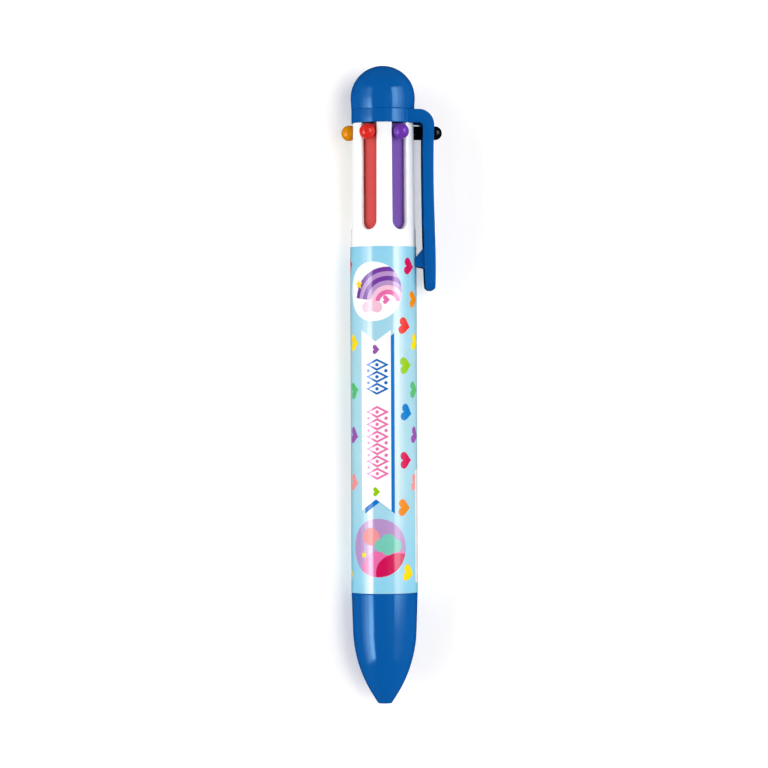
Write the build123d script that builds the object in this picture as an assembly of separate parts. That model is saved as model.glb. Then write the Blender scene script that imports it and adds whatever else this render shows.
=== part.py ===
from build123d import *
from math import cos, radians, sin
import os

# A six-colour click pen, lying down. The pen's axis is Y: the round end cap is towards +Y, the
# writing tip towards -Y, the pocket clip towards +X, and +Z is up. The origin is on the axis, at the
# seam between the barrel and the nose cone. Lengths are millimetres and angles are degrees.

# Barrel
BARREL_R = 7.50            # outer radius at the seam; it narrows with a moulding draft
BARREL_MID_R = 7.49        # outer radius at the end of the film's straight stretch
BARREL_TOP_R = 7.23        # outer radius under the collar
BORE_R = 6.00
NECK_R = 6.55              # outer radius of the fingers inside the collar and the cap
NECK_BORE_R = 5.90
NECK_TOP_Y = 113.0
SHOULDER_R = 5.35          # inner ring that the guide plate rests on
SHOULDER_Y = (47.5, 49.5)
RIB_INNER_R = 4.70
RIB_THICKNESS = 0.90

# Slots for the sliders, open at the top
SLOT_HALF_WIDTH = 1.975
SLOT_ARC_Y = 84.8          # centre of each slot's round bottom

# Printed film round the barrel
FILM_BOTTOM_Y = 0.15
FILM_STRAIGHT_Y = 66.0     # end of its straight stretch, where a pen loop grips it
FILM_TOP_Y = 78.95
FILM_GAP = 0.01
FILM_R = 7.60
FILM_TOP_BARREL_R = 7.46   # the barrel's radius at the film's top edge

# Nose cone: a slight taper, an arc, then a straight tip
NOSE_SEAM_R = 7.58
NOSE_TAPER_Y = -8.9
NOSE_TAPER_R = 7.28
NOSE_TAPER_ANGLE = 2.0
NOSE_ARC_R = 29.2
NOSE_TIP_ANGLE = 31.0
NOSE_TIP_Y = -25.44
NOSE_TIP_R = 1.54
NOSE_WALL = 1.10
NOSE_EDGE = 0.20           # chamfer of the edge at the seam and of the tip
NOSE_HOLE_R = 1.08
NOSE_HOLE_DEPTH = 1.00
SPIGOT_R = 5.95
SPIGOT_BORE_R = 5.40
SPIGOT_TOP_Y = 8.0

# Collar and end cap
COLLAR_Y = (107.22, 110.38)
COLLAR_R = 7.21
COLLAR_BORE_R = 6.60
CAP_R = 7.34               # radius of the dome
CAP_FLARE_Y = 112.8        # end of the short flare above the seam
DOME_Y = 113.16            # centre of the dome
CAP_BORE_TOP_Y = 113.3
CAP_INNER_DOME_R = 6.05
CAP_BOSS_R = (2.20, 3.20)  # ring inside the cap that holds the latch core's stub
CAP_BOSS_Y = (109.35, 119.0)

# Pocket clip
BRIDGE_Y = (107.27, 110.33)
CLIP_HALF_WIDTH = 4.60
CLIP_SPLIT_X = 7.80        # fine line between the collar's bridge and the clip
CLIP_SPLIT_GAP = 0.04
CLIP_CORNER_R = 3.55
CLIP_FILLET_R = 0.90
CLIP_OUTER = [(11.56, 106.78), (11.36, 94.0), (11.66, 82.0), (11.82, 74.0), (11.76, 69.85)]
CLIP_INNER = [(9.50, 69.85), (9.28, 75.0), (9.12, 82.0), (8.97, 94.0), (9.00, 106.37)]
CLIP_END_Y = 68.95
CLIP_TAPER_Y = 86.0        # the clip narrows from here to its end
CLIP_END_HALF_WIDTH = 3.40
CLIP_END_CORNER_R = 2.0
CLIP_SLOT_HALF_WIDTH = 2.05
CLIP_SLOT_ARCS_Y = (84.65, 105.08)
BUMP_HALF_WIDTH = 3.20
BUMP_OUTLINE = [(9.6, 79.0), (9.0, 78.5), (7.95, 77.2), (6.90, 76.0), (7.60, 74.4), (9.6, 74.1)]
BUMP_CLEAR_R = 7.72        # the bump is hollowed to clear the film

# Sliders: one station for each colour, as an angle round Y from +Z towards +X
STATIONS = {"purple": 30, "black": 90, "blue": 150, "green": 210, "orange": 270, "red": 330}
BAR_HALF_WIDTH = 1.55
BAR_R = (3.20, 5.80)       # inner and outer faces of the bar that runs behind the slot
FACE_HALF_WIDTH = 2.10     # the bar's outer face is wider than the slot, so it closes it
FACE_INNER_R = 4.95
BAR_Y = (79.0, 107.0)
NIB_HALF_WIDTH = 0.90
NIB_INNER_R = 2.85
NIB_Y = (99.5, 103.5)
KNOB_Y = 105.08
KNOB_BALL_R = 1.78
KNOB_CENTRE_R = 7.72
KNOB_NECK_R = 1.35
LONG_KNOB = "black"        # this knob reaches out through the clip
LONG_KNOB_R = 1.58
LONG_KNOB_END_R = 11.95    # centre of its round end

# Refills
REFILL_R = 4.00            # circle that the six refills stand on
BOSS_R = 1.65
BOSS_Y = (77.5, 82.5)
PLUG_R = 0.75
PLUG_BOTTOM_Y = 74.1
TUBE_R = (0.90, 1.15)
TUBE_Y = (0.60, 77.35)
TIP_BORE_R = 0.25
TIP_STEM_R = 0.85
TIP_STEM_TOP_Y = 4.0
TIP_SHOULDER_Y = -1.9
TIP_END_R = 0.42
TIP_END_Y = -7.14
BALL_R = 0.36
BALL_Y = -7.04
SOCKET_R = 0.37

# Springs
SPRING_R = 1.48            # radius of the wire's centre line
WIRE_R = 0.15
SPRING_TURNS = 13
SPRING_Y = (51.48, 77.28)  # the centre line's two ends

# Latch core and guide plate
POST_R = 1.90
POST_PIN_R = 1.20
POST_PIN_BOTTOM_Y = 48.7
LEDGE_R = 2.75
LEDGE_Y = (83.9, 85.4)
LEDGE_RAMP_TOP_Y = 88.0
FLANGE_R = 5.75
FLANGE_Y = (107.7, 109.3)
STUB_R = 2.10
STUB_TOP_Y = 113.0
PLATE_R = 5.95
PLATE_Y = (49.5, 51.3)
PLATE_HOLE_R = 1.30
PLATE_HOLE_REACH = 0.45    # how far each hole is drawn out inwards


def lathe(*outline):
    """Turned piece round the pen's axis, from the (radius, y) corners of its section."""
    return revolve(make_face(Polyline(*outline, close=True)), Axis.Y)


def rod(radius, y_range, z=0.0):
    """Round bar along Y, standing z above the axis."""
    length = y_range[1] - y_range[0]
    return Pos(0, sum(y_range) / 2, z) * Rot(90, 0, 0) * Cylinder(radius, length)


def block(x_range, y_range, z_range):
    """Box between two values on each axis."""
    spans = [high - low for low, high in (x_range, y_range, z_range)]
    middles = [(low + high) / 2 for low, high in (x_range, y_range, z_range)]
    return Pos(*middles) * Box(*spans)


def upright(radius, y, z_range):
    """Round bar along Z at a height y on the pen."""
    return Pos(0, y, sum(z_range) / 2) * Cylinder(radius, z_range[1] - z_range[0])


def at_station(shape, angle):
    """Turn a shape made above the axis to its angle round the pen."""
    return Rot(0, angle, 0) * shape


def make_barrel():
    shell = lathe(
        (BORE_R, 0), (BARREL_R, 0), (BARREL_MID_R, FILM_STRAIGHT_Y),
        (FILM_TOP_BARREL_R, FILM_TOP_Y), (BARREL_TOP_R, COLLAR_Y[0]),
        (NECK_R, COLLAR_Y[0]), (NECK_R, NECK_TOP_Y), (NECK_BORE_R, NECK_TOP_Y),
        (NECK_BORE_R, COLLAR_Y[0]), (BORE_R, COLLAR_Y[0]),
        (BORE_R, SHOULDER_Y[1]), (SHOULDER_R, SHOULDER_Y[1]),
        (SHOULDER_R, SHOULDER_Y[0]), (BORE_R, SHOULDER_Y[0]),
    )
    wall = (BORE_R - 1, BARREL_R + 1)
    slot = block((-SLOT_HALF_WIDTH, SLOT_HALF_WIDTH), (SLOT_ARC_Y, NECK_TOP_Y + 1), wall)
    slot += upright(SLOT_HALF_WIDTH, SLOT_ARC_Y, wall)
    rib_y = (SLOT_ARC_Y, COLLAR_Y[0])
    rib = block((-RIB_THICKNESS / 2, RIB_THICKNESS / 2), rib_y, (RIB_INNER_R, BORE_R + 0.3))
    for angle in STATIONS.values():
        shell -= at_station(slot, angle)
        shell += at_station(rib, angle + 30)
    return shell


def make_printed_film():
    inner, top = BARREL_R + FILM_GAP, FILM_TOP_BARREL_R + FILM_GAP
    thickness = FILM_R - inner
    return lathe(
        (inner, FILM_BOTTOM_Y), (FILM_R, FILM_BOTTOM_Y), (FILM_R, FILM_STRAIGHT_Y),
        (top + thickness, FILM_TOP_Y), (top, FILM_TOP_Y), (inner, FILM_STRAIGHT_Y),
    )


def nose_arc_point(radius, angle):
    """Point of the nose's section at an angle below the arc's centre."""
    start = radians(NOSE_TAPER_ANGLE)
    centre_r = NOSE_TAPER_R - NOSE_ARC_R * cos(start)
    centre_y = NOSE_TAPER_Y + NOSE_ARC_R * sin(start)
    turn = radians(angle)
    return centre_r + radius * cos(turn), centre_y - radius * sin(turn)


def make_nose_cone():
    middle = (NOSE_TAPER_ANGLE + NOSE_TIP_ANGLE) / 2
    outside = [nose_arc_point(NOSE_ARC_R, a) for a in (NOSE_TAPER_ANGLE, middle, NOSE_TIP_ANGLE)]
    inside = [nose_arc_point(NOSE_ARC_R - NOSE_WALL, a) for a in (0, middle, NOSE_TIP_ANGLE)]
    solid = make_face(
        Polyline(
            (0, SPIGOT_TOP_Y), (SPIGOT_R, SPIGOT_TOP_Y), (SPIGOT_R, 0),
            (NOSE_SEAM_R - NOSE_EDGE, 0), (NOSE_SEAM_R, -NOSE_EDGE), outside[0],
        )
        + ThreePointArc(*outside)
        + Polyline(
            outside[2], (NOSE_TIP_R + NOSE_EDGE / 2, NOSE_TIP_Y + NOSE_EDGE),
            (NOSE_TIP_R - NOSE_EDGE / 2, NOSE_TIP_Y), (0, NOSE_TIP_Y), (0, SPIGOT_TOP_Y),
        )
    )
    hole_top = NOSE_TIP_Y + NOSE_HOLE_DEPTH
    cavity = make_face(
        ThreePointArc(*inside)
        + Polyline(
            inside[2], (NOSE_HOLE_R, hole_top), (NOSE_HOLE_R, NOSE_TIP_Y - 1),
            (0, NOSE_TIP_Y - 1), (0, inside[0][1]), inside[0],
        )
    )
    ogive = revolve(cavity, Axis.Y) & rod(SPIGOT_BORE_R, (NOSE_TIP_Y - 2, SPIGOT_TOP_Y))
    bore = rod(SPIGOT_BORE_R, (inside[0][1], SPIGOT_TOP_Y + 1))
    return revolve(solid, Axis.Y) - ogive - bore


def dome_section(radius, centre_y):
    """Quarter circle from a dome's rim to its top."""
    slant = radius * cos(radians(45))
    return ThreePointArc((radius, centre_y), (slant, centre_y + slant), (0, centre_y + radius))


def make_end_cap():
    inner_top = CAP_BORE_TOP_Y + CAP_INNER_DOME_R
    section = (
        Polyline(
            (CAP_INNER_DOME_R, CAP_BORE_TOP_Y), (COLLAR_BORE_R, CAP_BORE_TOP_Y),
            (COLLAR_BORE_R, COLLAR_Y[1]), (COLLAR_R, COLLAR_Y[1]),
            (CAP_R, CAP_FLARE_Y), (CAP_R, DOME_Y),
        )
        + dome_section(CAP_R, DOME_Y)
        + Line((0, DOME_Y + CAP_R), (0, inner_top))
        + dome_section(CAP_INNER_DOME_R, CAP_BORE_TOP_Y)
    )
    low, high = CAP_BOSS_Y
    inner, outer = CAP_BOSS_R
    boss = lathe((inner, low), (outer, low), (outer, high), (inner, high))
    return revolve(make_face(section), Axis.Y) + boss


def make_clip_collar():
    ring = rod(COLLAR_R, COLLAR_Y)
    width = (-CLIP_HALF_WIDTH, CLIP_HALF_WIDTH)
    bridge = block((0, CLIP_SPLIT_X - CLIP_SPLIT_GAP / 2), BRIDGE_Y, width)
    low, high = COLLAR_Y
    return ring + bridge - rod(COLLAR_BORE_R, (low - 1, high + 1))


def clip_side_section():
    """The clip seen from the side: bridge, rounded corner and springy arm."""
    split = CLIP_SPLIT_X + CLIP_SPLIT_GAP / 2
    low, high = BRIDGE_Y
    outer_x, corner_y = CLIP_OUTER[0]
    inner_x, fillet_y = CLIP_INNER[-1]
    slant = cos(radians(45))
    corner = ThreePointArc(
        (outer_x - CLIP_CORNER_R, high),
        (outer_x - CLIP_CORNER_R * (1 - slant), corner_y + CLIP_CORNER_R * slant),
        CLIP_OUTER[0],
    )
    fillet_arc = ThreePointArc(
        CLIP_INNER[-1],
        (inner_x - CLIP_FILLET_R * (1 - slant), fillet_y + CLIP_FILLET_R * slant),
        (inner_x - CLIP_FILLET_R, low),
    )
    end = ThreePointArc(
        CLIP_OUTER[-1], ((CLIP_OUTER[-1][0] + CLIP_INNER[0][0]) / 2, CLIP_END_Y), CLIP_INNER[0]
    )
    return make_face(
        Polyline((inner_x - CLIP_FILLET_R, low), (split, low), (split, high), corner @ 0)
        + corner + Spline(*CLIP_OUTER) + end + Spline(*CLIP_INNER) + fillet_arc
    )


def clip_plan():
    """The clip seen from outside: full width at the bridge, narrower at its rounded end."""
    full, narrow, top = CLIP_HALF_WIDTH, CLIP_END_HALF_WIDTH, BRIDGE_Y[1]
    outline = Polyline(
        (top, -full), (CLIP_TAPER_Y, -full), (CLIP_END_Y, -narrow),
        (CLIP_END_Y, narrow), (CLIP_TAPER_Y, full), (top, full), close=True,
    )
    face = make_face(outline)
    ends = face.vertices().sort_by(Axis.X)[:2]
    return fillet(ends, CLIP_END_CORNER_R)


def make_pocket_clip():
    arm = extrude(clip_side_section(), amount=CLIP_HALF_WIDTH, both=True)
    bump = extrude(make_face(Polyline(*BUMP_OUTLINE, close=True)), amount=BUMP_HALF_WIDTH, both=True)
    arm += bump
    arm &= extrude(Plane.YZ * clip_plan(), amount=2 * CLIP_OUTER[0][0])
    reach = (CLIP_SPLIT_X, 2 * CLIP_OUTER[0][0])
    bottom, top = CLIP_SLOT_ARCS_Y
    slot = block((-CLIP_SLOT_HALF_WIDTH, CLIP_SLOT_HALF_WIDTH), (bottom, top), reach)
    slot += upright(CLIP_SLOT_HALF_WIDTH, bottom, reach)
    slot += upright(CLIP_SLOT_HALF_WIDTH, top, reach)
    arm -= at_station(slot, STATIONS[LONG_KNOB])
    return arm - rod(BUMP_CLEAR_R, (CLIP_END_Y, CLIP_TAPER_Y))


def make_latch_core():
    return lathe(
        (0, POST_PIN_BOTTOM_Y), (POST_PIN_R, POST_PIN_BOTTOM_Y), (POST_PIN_R, PLATE_Y[1]),
        (POST_R, PLATE_Y[1]), (POST_R, LEDGE_Y[0]), (LEDGE_R, LEDGE_Y[0]),
        (LEDGE_R, LEDGE_Y[1]), (POST_R, LEDGE_RAMP_TOP_Y), (POST_R, FLANGE_Y[0]),
        (FLANGE_R, FLANGE_Y[0]), (FLANGE_R, FLANGE_Y[1]), (STUB_R, FLANGE_Y[1]),
        (STUB_R, STUB_TOP_Y), (0, STUB_TOP_Y),
    )


def make_guide_plate():
    plate = rod(PLATE_R, PLATE_Y) - rod(PLATE_HOLE_R, PLATE_Y)
    inner = REFILL_R - PLATE_HOLE_REACH
    hole = rod(PLATE_HOLE_R, PLATE_Y, REFILL_R) + rod(PLATE_HOLE_R, PLATE_Y, inner)
    hole += block((-PLATE_HOLE_R, PLATE_HOLE_R), PLATE_Y, (inner, REFILL_R))
    for angle in STATIONS.values():
        plate -= at_station(hole, angle)
    return plate


def make_slider(colour):
    bar = block((-BAR_HALF_WIDTH, BAR_HALF_WIDTH), BAR_Y, (BAR_R[0], BAR_R[1] + 1))
    bar += block((-FACE_HALF_WIDTH, FACE_HALF_WIDTH), BAR_Y, (FACE_INNER_R, BAR_R[1] + 1))
    bar &= rod(BAR_R[1], BAR_Y)
    slider = bar + rod(BOSS_R, BOSS_Y, REFILL_R) + rod(PLUG_R, (PLUG_BOTTOM_Y, BOSS_Y[1]), REFILL_R)
    slider += block((-NIB_HALF_WIDTH, NIB_HALF_WIDTH), NIB_Y, (NIB_INNER_R, REFILL_R))
    if colour == LONG_KNOB:
        slider += upright(LONG_KNOB_R, KNOB_Y, (REFILL_R, LONG_KNOB_END_R))
        slider += Pos(0, KNOB_Y, LONG_KNOB_END_R) * Sphere(LONG_KNOB_R)
    else:
        slider += upright(KNOB_NECK_R, KNOB_Y, (REFILL_R, KNOB_CENTRE_R))
        slider += Pos(0, KNOB_Y, KNOB_CENTRE_R) * Sphere(KNOB_BALL_R)
    return slider


def make_refill_tube():
    low, high = TUBE_Y
    inner, outer = TUBE_R
    return Pos(0, 0, REFILL_R) * lathe((inner, low), (outer, low), (outer, high), (inner, high))


def make_refill_tip():
    tip = lathe(
        (TIP_BORE_R, TIP_STEM_TOP_Y), (TIP_STEM_R, TIP_STEM_TOP_Y), (TIP_STEM_R, TUBE_Y[0]),
        (TUBE_R[1], TUBE_Y[0]), (TUBE_R[1], TIP_SHOULDER_Y), (TIP_END_R, TIP_END_Y),
        (TIP_BORE_R, TIP_END_Y),
    )
    return Pos(0, 0, REFILL_R) * (tip - Pos(0, BALL_Y, 0) * Sphere(SOCKET_R))


def make_tip_ball():
    return Pos(0, BALL_Y, REFILL_R) * Sphere(BALL_R)


def make_return_spring():
    low, high = SPRING_Y
    pitch = (high - low) / SPRING_TURNS
    coil = Helix(pitch=pitch, height=high - low, radius=SPRING_R)
    wire = sweep(Plane(coil @ 0, z_dir=coil % 0) * Circle(WIRE_R), path=coil, is_frenet=True)
    return Pos(0, low, REFILL_R) * Rot(-90, 0, 0) * wire


def write(name, shape):
    export_step(shape, f"parts/{name}.step")


def main():
    os.makedirs("parts", exist_ok=True)
    write("barrel", make_barrel())
    write("printed_film", make_printed_film())
    write("nose_cone", make_nose_cone())
    write("end_cap", make_end_cap())
    write("clip_collar", make_clip_collar())
    write("pocket_clip", make_pocket_clip())
    write("latch_core", make_latch_core())
    write("guide_plate", make_guide_plate())
    refill = {
        "refill_tube": make_refill_tube(),
        "refill_tip": make_refill_tip(),
        "tip_ball": make_tip_ball(),
        "return_spring": make_return_spring(),
    }
    for colour, angle in STATIONS.items():
        write(f"slider_{colour}", at_station(make_slider(colour), angle))
        for name, shape in refill.items():
            write(f"{name}_{colour}", at_station(shape, angle))


main()
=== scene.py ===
import random
from math import atan2, asin, cos, degrees, pi, radians, sin, sqrt, tan

import bmesh
import bpy
from mathutils import Matrix, Vector
from mathutils.geometry import delaunay_2d_cdt


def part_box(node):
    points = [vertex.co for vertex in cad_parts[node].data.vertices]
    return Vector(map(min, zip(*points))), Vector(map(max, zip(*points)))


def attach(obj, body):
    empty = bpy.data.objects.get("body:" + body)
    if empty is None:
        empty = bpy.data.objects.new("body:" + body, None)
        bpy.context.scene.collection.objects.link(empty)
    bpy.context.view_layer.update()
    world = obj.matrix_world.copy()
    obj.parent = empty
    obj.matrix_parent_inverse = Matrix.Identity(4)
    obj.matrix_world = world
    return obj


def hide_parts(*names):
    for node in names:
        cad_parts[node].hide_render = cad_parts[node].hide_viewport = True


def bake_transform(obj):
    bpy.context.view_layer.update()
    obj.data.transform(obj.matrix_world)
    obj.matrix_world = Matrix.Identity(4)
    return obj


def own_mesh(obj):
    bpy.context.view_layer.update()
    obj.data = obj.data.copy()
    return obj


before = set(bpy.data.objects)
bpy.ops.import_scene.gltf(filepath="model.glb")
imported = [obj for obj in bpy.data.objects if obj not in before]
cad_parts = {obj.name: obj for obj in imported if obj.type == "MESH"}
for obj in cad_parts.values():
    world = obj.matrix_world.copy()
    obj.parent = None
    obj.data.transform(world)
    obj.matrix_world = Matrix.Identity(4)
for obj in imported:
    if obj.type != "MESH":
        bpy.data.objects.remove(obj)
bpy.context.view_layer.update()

# A six-colour click pen, lying down with its cap towards +Y, its clip towards +X and +Z up.
MM = 0.001

# Places from the frame, in metres
FILM_LOW, FILM_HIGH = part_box("printed_film")
BARREL_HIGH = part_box("barrel")[1]
NOSE_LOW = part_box("nose_cone")[0]
COLLAR_LOW, COLLAR_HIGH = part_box("clip_collar")
CAP_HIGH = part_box("end_cap")[1]
CLIP_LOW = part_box("pocket_clip")[0]
PLATE_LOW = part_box("guide_plate")[0]
STATIONS = {"purple": 30, "black": 90, "blue": 150, "green": 210, "orange": 270, "red": 330}
KNOB_BACK = 1.92 * MM      # from a slider's rear end to its knob's axis
KNOB_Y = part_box("slider_black")[1].y - KNOB_BACK
REFILL_R = 4.0 * MM        # from the pen's axis to a refill's

# Radii and heights of the casing, in metres
FILM_R = FILM_HIGH.x
FILM_TOP_R = FILM_R - 0.04 * MM
FILM_STRAIGHT_Y = 66 * MM
FILM_THICKNESS = 0.09 * MM
FILM_FOOT_Y = 0.03 * MM    # just above the nose cone
BARREL_R = 7.50 * MM
BARREL_MID_R = 7.49 * MM
BARREL_HIGH_R = 7.46 * MM
BARREL_TOP_R = 7.23 * MM
BORE_R = 6.0 * MM
NECK_R = 6.55 * MM
NECK_BORE_R = 5.9 * MM
SLOT_HALF = 1.975 * MM
SLOT_ARC_Y = 84.8 * MM     # centre of the slots' round bottoms
SLOT_FOOT_Y = 81.3 * MM    # below this the barrel is a plain tube
SLOT_EDGE = 0.22 * MM      # rounding of the slots' edges
SLOT_STEPS = 12            # steps of a slot's round bottom over a quarter turn
SECTOR_HALF = radians(30)  # half the angle between two slots
RING_BORE_R = 6.6          # bore of the collar and the cap, in millimetres


# ---- outlines and meshes

def arc(centre, radius, start, end, steps):
    """Points of an arc, angles in degrees."""
    turns = [radians(start + (end - start) * k / steps) for k in range(steps + 1)]
    return [(centre[0] + radius * cos(t), centre[1] + radius * sin(t)) for t in turns]


def rounded(corners, closed=False, steps=5):
    """Outline with rounded corners, from corners (x, y, radius)."""
    points = []
    count = len(corners)
    for i, (x, y, radius) in enumerate(corners):
        here = Vector((x, y))
        if not radius or (not closed and i in (0, count - 1)):
            points.append((x, y))
            continue
        back = (Vector(corners[i - 1][:2]) - here).normalized()
        ahead = (Vector(corners[(i + 1) % count][:2]) - here).normalized()
        half = back.angle(ahead) / 2
        centre = here + (back + ahead).normalized() * radius / sin(half)
        start = here + back * radius / tan(half) - centre
        end = here + ahead * radius / tan(half) - centre
        first = atan2(start.y, start.x)
        turn = (atan2(end.y, end.x) - first + pi) % (2 * pi) - pi
        for k in range(steps + 1):
            angle = first + turn * k / steps
            points.append((centre.x + radius * cos(angle), centre.y + radius * sin(angle)))
    return points


def scaled(points):
    return [(x * MM, y * MM) for x, y in points]


def new_object(name, data):
    made = bpy.data.objects.new(name, data)
    bpy.context.scene.collection.objects.link(made)
    return made


def smooth(bm, sharp=40):
    """Smooths all but the edges where faces turn more than the sharp angle."""
    for face in bm.faces:
        face.smooth = True
    for edge in bm.edges:
        edge.smooth = len(edge.link_faces) == 2 and edge.calc_face_angle() < radians(sharp)


def finish_mesh(bm, name, material, sharp=40, merge=1e-7):
    """Makes an object from a bmesh, with its doubles merged and its normals outwards."""
    bmesh.ops.remove_doubles(bm, verts=bm.verts, dist=merge)
    bmesh.ops.recalc_face_normals(bm, faces=bm.faces)
    smooth(bm, sharp)
    mesh = bpy.data.meshes.new(name)
    bm.to_mesh(mesh)
    bm.free()
    mesh.materials.append(material)
    return new_object(name, mesh)


def turned_piece(name, outline, material, steps, closed=True, place=Matrix.Identity(4)):
    """A shape turned round Y from (radius, y) points. An open outline starts and ends on the axis."""
    bm = bmesh.new()
    rings = []
    angles = [2 * pi * k / steps for k in range(steps)]
    for radius, y in outline:
        on_axis = radius < 1e-7
        points = [(0, y, 0)] if on_axis else [(radius * sin(a), y, radius * cos(a)) for a in angles]
        rings.append([bm.verts.new(place @ Vector(point)) for point in points])
    for low, high in zip(rings, rings[1:] + rings[:1] if closed else rings[1:]):
        if len(low) == 1 and len(high) == 1:
            continue
        for k in range(steps):
            n = (k + 1) % steps
            if len(low) == 1:
                bm.faces.new((low[0], high[k], high[n]))
            elif len(high) == 1:
                bm.faces.new((low[k], high[0], low[n]))
            else:
                bm.faces.new((low[k], high[k], high[n], low[n]))
    return finish_mesh(bm, name, material)


def apply_modifiers(piece):
    """Replaces a piece's mesh by the result of its modifiers."""
    bpy.context.view_layer.update()
    graph = bpy.context.evaluated_depsgraph_get()
    mesh = bpy.data.meshes.new_from_object(piece.evaluated_get(graph))
    piece.modifiers.clear()
    piece.data = mesh
    return piece


def add_modifier(piece, kind, **settings):
    modifier = piece.modifiers.new(kind.lower(), kind)
    for key, value in settings.items():
        setattr(modifier, key, value)
    return modifier


def mark_sharp(piece, sharp):
    """Smooths a piece again, as after a boolean union."""
    bm = bmesh.new()
    bm.from_mesh(piece.data)
    smooth(bm, sharp)
    bm.to_mesh(piece.data)
    bm.free()


def grid(bm, rows):
    """Faces between rows of vertices."""
    for low, high in zip(rows, rows[1:]):
        for k in range(len(low) - 1):
            corners = list(dict.fromkeys((low[k], low[k + 1], high[k + 1], high[k])))
            if len(corners) > 2:
                bm.faces.new(corners)


# ---- materials

def srgb(red, green, blue):
    """Linear colour from 0-255 display values."""
    def linear(value):
        value /= 255
        return value / 12.92 if value <= 0.04045 else ((value + 0.055) / 1.055) ** 2.4
    return linear(red), linear(green), linear(blue), 1.0


class Nodes:
    """Short names for building a material's node tree."""

    def __init__(self, name):
        self.material = bpy.data.materials.new(name)
        self.material.use_nodes = True
        self.tree = self.material.node_tree
        self.shader = self.tree.nodes["Principled BSDF"]
        self.place = self.add("TexCoord").outputs["Object"]

    def add(self, kind, inputs=None, **settings):
        node = self.tree.nodes.new("ShaderNode" + kind)
        for key, value in settings.items():
            setattr(node, key, value)
        for key, value in (inputs or {}).items():
            self.put(node.inputs[key], value)
        return node

    def put(self, socket, value):
        if isinstance(value, bpy.types.NodeSocket):
            self.tree.links.new(value, socket)
        else:
            socket.default_value = value

    def stretch(self, x, y, z):
        """The place on the object with each axis scaled."""
        return self.add("Mapping", {"Vector": self.place, "Scale": (x, y, z)}).outputs[0]

    def noise(self, scale, detail=3.0, place=None, roughness=0.5):
        inputs = {"Vector": place or self.place, "Scale": scale, "Detail": detail, "Roughness": roughness}
        return self.add("TexNoise", inputs).outputs["Fac"]

    def remap(self, value, low, high, to_low, to_high):
        inputs = {0: value, 1: low, 2: high, 3: to_low, 4: to_high}
        return self.add("MapRange", inputs).outputs[0]

    def length(self, vector):
        return self.add("VectorMath", {0: vector}, operation="LENGTH").outputs["Value"]

    def math(self, operation, a, b=0.0):
        return self.add("Math", {0: a, 1: b}, operation=operation).outputs[0]

    def mix(self, factor, a, b):
        node = self.add("Mix", data_type="RGBA")
        self.put(node.inputs[0], factor)
        self.put(node.inputs[6], a)
        self.put(node.inputs[7], b)
        return node.outputs[2]

    def bump(self, height, strength, distance, normal=None):
        inputs = {"Height": height, "Strength": strength, "Distance": distance}
        if normal is not None:
            inputs["Normal"] = normal
        return self.add("Bump", inputs).outputs[0]

    def set(self, **values):
        for key, value in values.items():
            self.put(self.shader.inputs[key.replace("_", " ")], value)


def shade(colour, factor, offset=0.0):
    return tuple(min(1.0, channel * factor + offset) for channel in colour[:3]) + (1.0,)


def own_tint(colour):
    """White leaning towards a colour, and darker for a black."""
    peak = max(colour[:3])
    strength = 0.5 if peak < 0.01 else 1.0
    return tuple(strength * (0.5 + 0.5 * channel / peak) for channel in colour[:3]) + (1.0,)


# Sliders are satin within the first radius and glossy beyond the second; within it their colour also carries
# painted shade and a painted sheen
SATIN_R, GLOSSY_R = 6.0 * MM, 6.8 * MM
FINE_GRAIN, COARSE_GRAIN = 0.08, 0.35


def moulded_plastic(name, colour, roughness, scatter=0.0, scuffs=0.5, tint=None, satin=None):
    """Glossy injection-moulded plastic: faint flow marks, a fine polish grain and hairline scuffs.

    With satin, the part of the piece inside the barrel has that roughness and a coarser grain, and its
    colour is painted darker and paler: painted shade of the recess and a painted sheen."""
    n = Nodes(name)
    flow = n.noise(70, 2, n.stretch(1, 0.35, 1))
    tone = n.mix(n.remap(flow, 0.3, 0.7, 0.0, 1.0), shade(colour, 0.94), shade(colour, 1.05))
    polish = n.noise(2600, 4)
    hairs = n.noise(900, 2, n.stretch(3.0, 0.25, 3.0), 0.7)
    scuff = n.remap(hairs, 0.62, 0.72, 0.0, 1.0)
    worn = n.remap(n.noise(160, 3), 0.45, 0.7, 0.0, scuffs)
    scuff = n.math("MULTIPLY", scuff, worn)
    level = n.remap(polish, 0.3, 0.7, 0.85, 1.2)
    grain = FINE_GRAIN
    if satin:
        # painted shade and painted sheen: inside the barrel the colour is darkened for the recess and lifted
        # for a sheen
        recess_shade_and_sheen = shade(colour, 0.8, 0.04)
        reach = n.length(n.stretch(1, 0, 1))
        level = n.math("MULTIPLY", level, n.remap(reach, SATIN_R, GLOSSY_R, satin, roughness))
        grain = n.remap(reach, SATIN_R, GLOSSY_R, COARSE_GRAIN, FINE_GRAIN)
        tone = n.mix(n.remap(reach, SATIN_R, GLOSSY_R, 0.0, 1.0), recess_shade_and_sheen, tone)
    else:
        level = n.math("MULTIPLY", level, roughness)
    n.set(Base_Color=tone, Roughness=n.math("ADD", level, n.math("MULTIPLY", scuff, 0.10)), IOR=1.52)
    if tint:
        n.set(Specular_Tint=tint)
    if scatter:
        n.set(Subsurface_Weight=scatter, Subsurface_Scale=1.2 * MM, Subsurface_Radius=(1.0, 0.8, 0.65))
    wave = n.bump(n.noise(420, 2), 0.10, 0.02 * MM)
    n.set(Normal=n.bump(scuff, 0.15, 0.004 * MM, n.bump(polish, grain, 0.003 * MM, wave)))
    return n.material


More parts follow.
